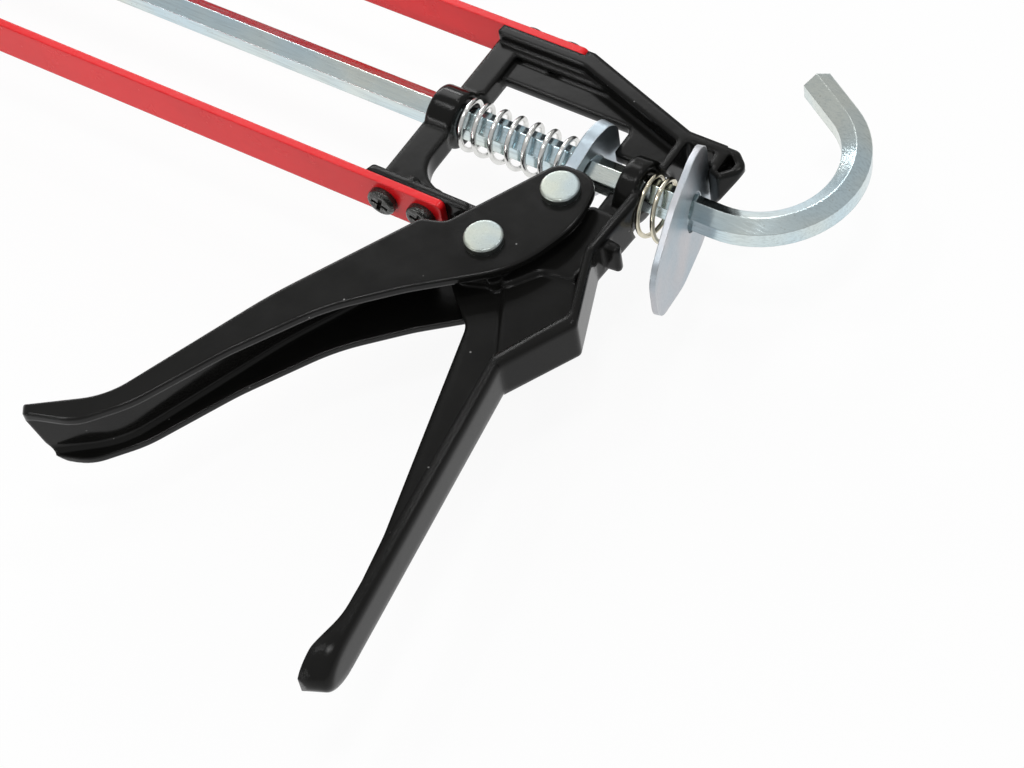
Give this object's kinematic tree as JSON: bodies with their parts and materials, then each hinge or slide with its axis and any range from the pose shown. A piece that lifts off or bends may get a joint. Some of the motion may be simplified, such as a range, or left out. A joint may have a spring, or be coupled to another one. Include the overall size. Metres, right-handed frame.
{
  "type": "caulking gun",
  "caption": "Skeleton caulking gun: two flat straps to a slotted front plate, a die-cast grip with squeeze trigger, a sprung hexagon push rod with hook and thumb release.",
  "frame": {"origin": "On the push rod's axis, in the plane of the front plate's inner face, where the cartridge's shoulder seats.", "axes": "+X rearward along the push rod, +Y from the rod towards the top strap (the handle hangs towards -Y), +Z out of the side that the nozzle slot opens to; the gun lies on its right side."},
  "size_m": [0.3422, 0.1939, 0.0511],
  "materials": {
    "black_paint": "satin black coat on a die casting",
    "red_paint": "gloss red coat on flat steel",
    "black_screw": "black oxide",
    "zinc_plate": "clear zinc plating, satin",
    "zinc_rod": "zinc plating on drawn hexagon bar",
    "bright_wire": "bright spring wire",
    "yellow_wire": "yellow passivated spring wire"
  },
  "bodies": {
    "frame": {"frame_casting": "black_paint", "top_strap": "red_paint", "bottom_strap": "red_paint", "front_plate": "red_paint", "top_strap_screws": "black_screw", "bottom_strap_screws": "black_screw", "top_front_rivets": "zinc_plate", "bottom_front_rivets": "zinc_plate", "drive_spring": "bright_wire", "release_spring": "yellow_wire"},
    "trigger": {"trigger": "black_paint", "pivot_pin": "zinc_plate", "drive_pin": "zinc_plate"},
    "drive_plate": {"drive_plate": "zinc_plate"},
    "release_plate": {"release_plate": "zinc_plate"},
    "pusher": {"push_disc": "zinc_plate"},
    "rod": {"push_rod": "zinc_rod", "push_disc_back_nut": "zinc_plate", "push_disc_lock_washer": "bright_wire", "push_disc_front_nut": "zinc_plate"}
  },
  "joints": [
    {"name": "trigger_squeeze", "type": "hinge", "parent": "frame", "child": "trigger", "pos_m": [0.2719, -0.0339, 0], "axis": [0, 0, 1], "range_deg": [0, 35], "stiffness_Nm_per_rad": 1.2, "springref_deg": -11.46},
    {"name": "drive_plate_slide", "type": "slide", "parent": "frame", "child": "drive_plate", "axis": [-1, 0, 0], "range_m": [0, 0.0131], "deforming": ["drive_spring"]},
    {"name": "release_tilt", "type": "hinge", "parent": "frame", "child": "release_plate", "pos_m": [0.3037, 0.0106, 0], "axis": [0, 0, -1], "range_deg": [0, 10], "stiffness_Nm_per_rad": 0.4, "springref_deg": -11.46, "deforming": ["release_spring"]},
    {"name": "pusher_slide", "type": "slide", "parent": "frame", "child": "pusher", "axis": [1, 0, 0], "range_m": [-0.003, 0.203]},
    {"name": "rod_turn", "type": "hinge", "parent": "pusher", "child": "rod", "pos_m": [0.019, 0, 0], "axis": [1, 0, 0], "continuous": true}
  ],
  "couplings": [
    {"joint": "drive_plate_slide", "follows": "trigger_squeeze", "m_per_rad": 0.02136}
  ]
}
